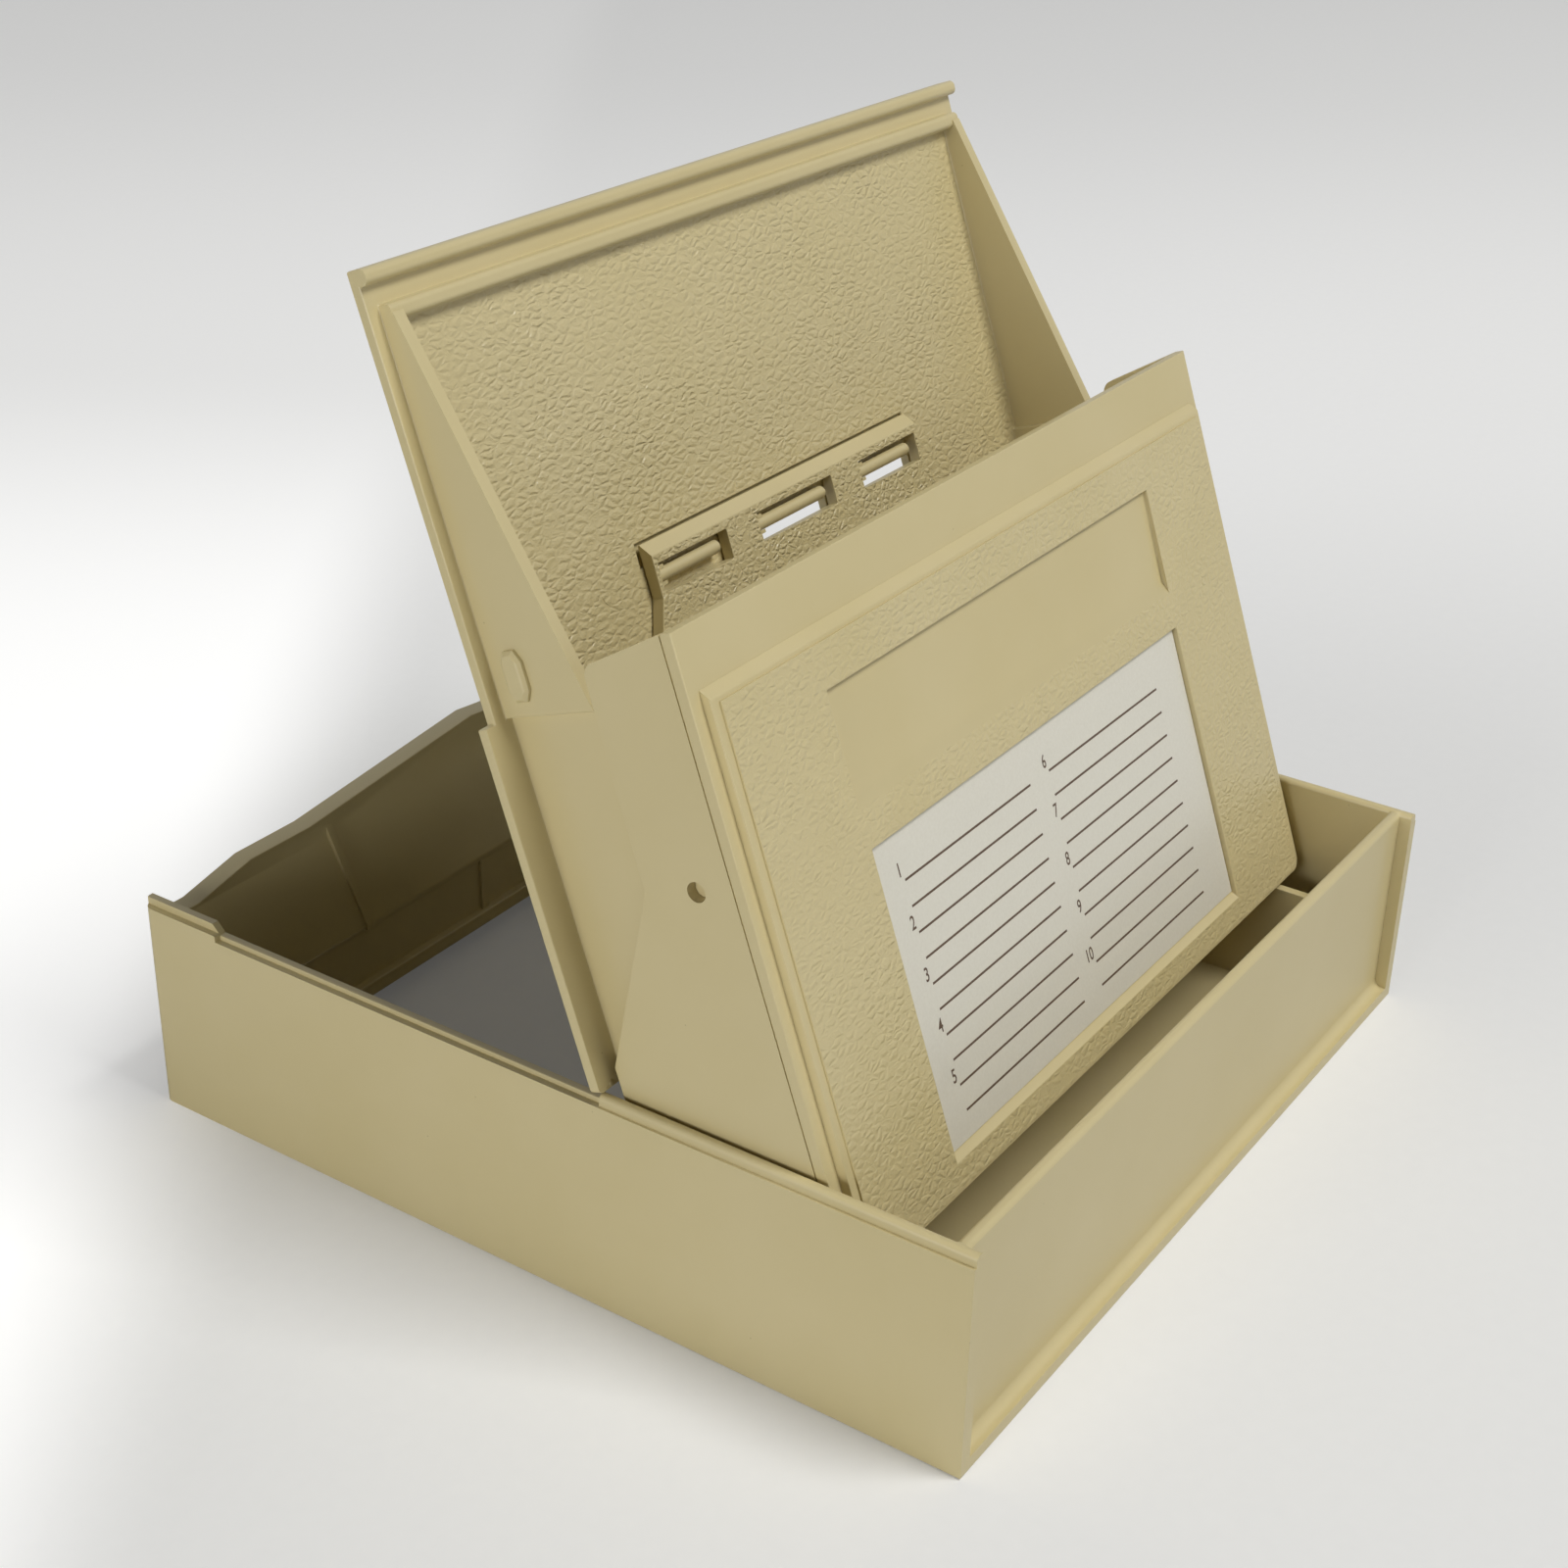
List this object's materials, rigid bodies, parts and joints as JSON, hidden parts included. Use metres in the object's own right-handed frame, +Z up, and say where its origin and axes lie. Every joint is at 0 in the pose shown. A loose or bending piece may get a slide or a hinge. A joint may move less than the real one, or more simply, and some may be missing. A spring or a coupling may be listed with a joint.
{
  "type": "floppy disk storage box",
  "caption": "Desk storage box for floppy disks: an open tray base holding a leaning back cover with a pivoting front bin, a support plate and an index card.",
  "frame": {"origin": "centre of the base tray's outline, on the surface it stands on", "axes": "+Z up, -Y towards the front panel with the index card, +X to the right of someone facing the front"},
  "size_m": [0.165, 0.1676, 0.1628],
  "materials": {
    "base_tray": "moulded satin beige plastic",
    "back_cover": "moulded beige plastic with a leather grain inside",
    "front_bin": "moulded beige plastic with a leather-grained raised panel",
    "index_card": "silvery white printed card",
    "support_plate": "moulded beige plastic with a leather grain"
  },
  "bodies": {
    "base": {"base_tray": "base_tray"},
    "cover": {"back_cover": "back_cover"},
    "bin": {"front_bin": "front_bin", "index_card": "index_card"},
    "support": {"support_plate": "support_plate"}
  },
  "joints": [
    {"name": "cover_lift", "type": "slide", "parent": "base", "child": "cover", "axis": [0, 0, 1], "range_m": [0, 0.06]},
    {"name": "bin_tilt", "type": "hinge", "parent": "cover", "child": "bin", "pos_m": [0, -0.03284, 0.08168], "axis": [-1, 0, 0], "range_deg": [0, 13]},
    {"name": "support_swing", "type": "hinge", "parent": "cover", "child": "support", "pos_m": [0, 0.00502, 0.10732], "axis": [-1, 0, 0], "range_deg": [0, 8]}
  ]
}
